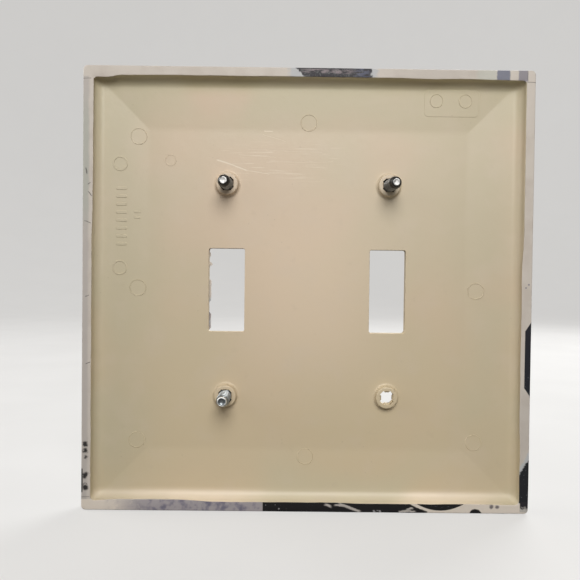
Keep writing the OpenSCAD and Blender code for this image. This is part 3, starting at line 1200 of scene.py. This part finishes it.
def printed_paper():
    s = Print()
    print_top(s)
    print_low(s)
    print_right(s)
    print_left(s)
    print_front(s)
    # fold lines across the corners of the rim
    lines = (
        ((60.6, 58.4), (63.0, 58.3), 0.10),
        ((-60.4, 58.8), (-63.0, 58.7), 0.12),
        ((60.5, -58.3), (63.0, -58.4), 0.10),
        ((-60.5, 59.4), (-60.6, 62.0), 0.07),
    )
    folds = s.strokes(lines)
    s.paint(s.times(folds, s.rise(s.y, -0.6, -0.3)), linear(70, 64, 60), 0.7)
    fibre = s.noise(0.5, 4.0, seed=1.0)
    s.paint(s.rise(fibre, 0.62, 0.75), linear(150, 146, 142), 0.18)
    height = s.add(
        s.times(fibre, 0.03), s.times(s.noise(1.8, 3.0, seed=12.0), 0.10), s.times(folds, -0.06)
    )
    return s.surface(
        Base_Color=s.colour,
        Roughness=s.add(0.5, s.times(fibre, 0.18)),
        Normal=s.bump(height),
        IOR=1.45,
    )


def plated_steel(name, axes, tone, crest_tone, tip_tone, rim_tone, roughness, stains):
    """Plated thread with bright crests, partly wear and partly a painted highlight; axes are the
    leaning centre lines of the shanks.
    """
    s = Shader(name)
    crest = None
    for place, lean in axes:
        along = s.times(s.minus(s.y, PIVOT_Y), 1 / LEVER)
        dx = s.minus(s.x, s.add(s.times(along, lean[0]), place.x))
        dz = s.minus(s.z, s.add(s.times(along, lean[1]), place.z))
        away = s.math("SQRT", s.add(s.times(dx, dx), s.times(dz, dz)))
        crest = s.math("MINIMUM", crest, away) if crest else away
    shank = s.rise(s.y, -4.4, -4.0)
    # crests painted bright: partly wear, partly a painted highlight where the thread catches the
    # light
    wear_and_highlight = s.times(s.rise(crest, 1.60, 1.72), s.rise(crest, 1.90, 1.80), shank)
    tip = s.rise(s.y, 5.58, 5.66)
    dirt = s.rise(s.noise(0.8, 4.0, seed=1.0), 0.45, 0.68)
    s.colour = tone
    s.paint(dirt, tuple(v * 0.45 for v in tone), stains)
    s.paint(wear_and_highlight, crest_tone, s.add(0.35, s.times(s.noise(1.2, 2.0, seed=4.0), 1.1)))
    tip_marks = s.rise(s.noise(0.9, 3.0, seed=5.0), 0.42, 0.60)
    s.paint(tip, s.blend(tip_marks, tip_tone, tuple(v * 0.42 for v in tip_tone)))
    # rim of the tip in its own tone, bright on the zinc screw as a painted highlight
    s.paint(s.times(s.rise(s.y, 5.3, 5.5), s.rise(crest, 0.96, 1.02)), rim_tone)
    # painted shade at the bottom of the driver slot
    s.paint(s.band(s.y, -6.92, -5.0, 0.12), (0.012, 0.011, 0.010))
    grain = s.noise(0.12, 3.0, seed=2.0)
    height = s.add(s.times(grain, 0.02), s.times(s.noise(0.6, 2.0, seed=3.0), 0.03))
    return s.surface(
        Base_Color=s.colour,
        Metallic=1.0,
        Roughness=s.add(roughness, s.times(grain, 0.14), s.times(dirt, 0.12), s.times(tip, 0.12)),
        Normal=s.bump(height),
    )


# ---- pieces

ivory = ivory_plastic()
paper = printed_paper()
SCREWS = {
    "upper_right": (24, (0.24, -0.38), False),
    "upper_left": (-38, (-0.51, -0.32), False),
    "lower_right": (71, (0.03, 0.05), True),
}
dark = plated_steel(
    "dark_steel",
    [(HOLES[name], SCREWS[name][1]) for name in ("upper_right", "upper_left")],
    tone=(0.085, 0.085, 0.083),
    crest_tone=(0.46, 0.46, 0.45),
    tip_tone=(0.74, 0.74, 0.73),
    rim_tone=(0.10, 0.10, 0.10),
    roughness=0.24,
    stains=0.8,
)
zinc = plated_steel(
    "zinc_steel",
    [(HOLES["lower_right"], SCREWS["lower_right"][1])],
    tone=(0.30, 0.33, 0.35),
    crest_tone=(0.66, 0.70, 0.72),
    tip_tone=(0.30, 0.36, 0.41),
    rim_tone=(0.92, 0.94, 0.95),
    roughness=0.30,
    stains=0.55,
)

finish_piece(build_plate(), "plate", "plate", ivory)
finish_piece(build_paper(), "plate", "paper_wrap", paper, sharp=50)
for corner, (turn, lean, cupped) in SCREWS.items():
    name = corner + "_screw"
    slot, metal = ("zinc_steel", zinc) if cupped else ("dark_steel", dark)
    screw = build_screw(name, HOLES[corner], turn, lean, cupped)
    finish_piece(screw, name, name, metal, sharp=40)

# ---- stage, light and camera


def build_stage():
    """Wide pale bowl: a flat floor that curves up far behind the object on every side."""
    floor_z = CAD_LOW.z - 0.0002
    flat, curve, wall = 0.9, 0.5, 1.0
    bend = arc((flat, floor_z + curve), curve, -math.pi / 2, 0, 12)
    profile = [(0.0, floor_z), (0.3, floor_z)] + bend + [(flat + curve, floor_z + curve + wall)]
    stage = turned("stage", profile, (0, 0), 96)
    stage.data.transform(Matrix.Rotation(math.pi / 2, 4, "X"))
    stage.data.shade_smooth()
    s = Shader("stage_paper")
    cloud = s.rise(s.noise(60.0, 3.0), 0.3, 0.7)
    tone = s.blend(cloud, (0.150, 0.149, 0.146), (0.170, 0.169, 0.166))
    glow = (0.80, 0.79, 0.775)
    paper = s.surface(Base_Color=tone, Roughness=0.9, Emission_Color=glow, Emission_Strength=0.72)
    stage.data.materials.append(paper)
    stage.visible_diffuse = False
    stage.visible_glossy = False


def area_light(name, place, size, power, colour=(1, 1, 1)):
    """Round soft light aimed at the middle of the plate."""
    data = bpy.data.lights.new(name, "AREA")
    data.shape = "DISK"
    data.size = size
    data.energy = power
    data.color = colour
    light = bpy.data.objects.new(name, data)
    light.location = place
    light.rotation_euler = (-Vector(place)).to_track_quat("-Z", "Y").to_euler()
    bpy.context.scene.collection.objects.link(light)


build_stage()
area_light("key", (-0.022, 0.45, 0.285), 0.33, 2.36, (1.0, 0.985, 0.96))
area_light("front", (-0.35, -0.50, 0.45), 0.5, 6.5)
area_light("side", (0.7, 0.1, 0.35), 0.5, 1.2)
area_light("flank", (0.75, -0.16, 0.25), 0.5, 3.2)

world = bpy.data.worlds.new("world")
world.use_nodes = True
sky = world.node_tree.nodes["Background"].inputs
sky["Color"].default_value = (1.0, 0.94, 0.86, 1.0)
sky["Strength"].default_value = 0.15
bpy.context.scene.world = world
bpy.context.scene.view_settings.view_transform = "Standard"

camera = bpy.data.objects.new("camera", bpy.data.cameras.new("camera"))
camera.location = (0.005693, 0.173024, 0.003508)
camera.rotation_euler = [math.radians(a) for a in (88.9363, -0.6561, 179.7416)]
camera.data.lens = 38.483
camera.data.sensor_width = 36
camera.data.clip_start = 0.005
bpy.context.scene.collection.objects.link(camera)
bpy.context.scene.camera = camera
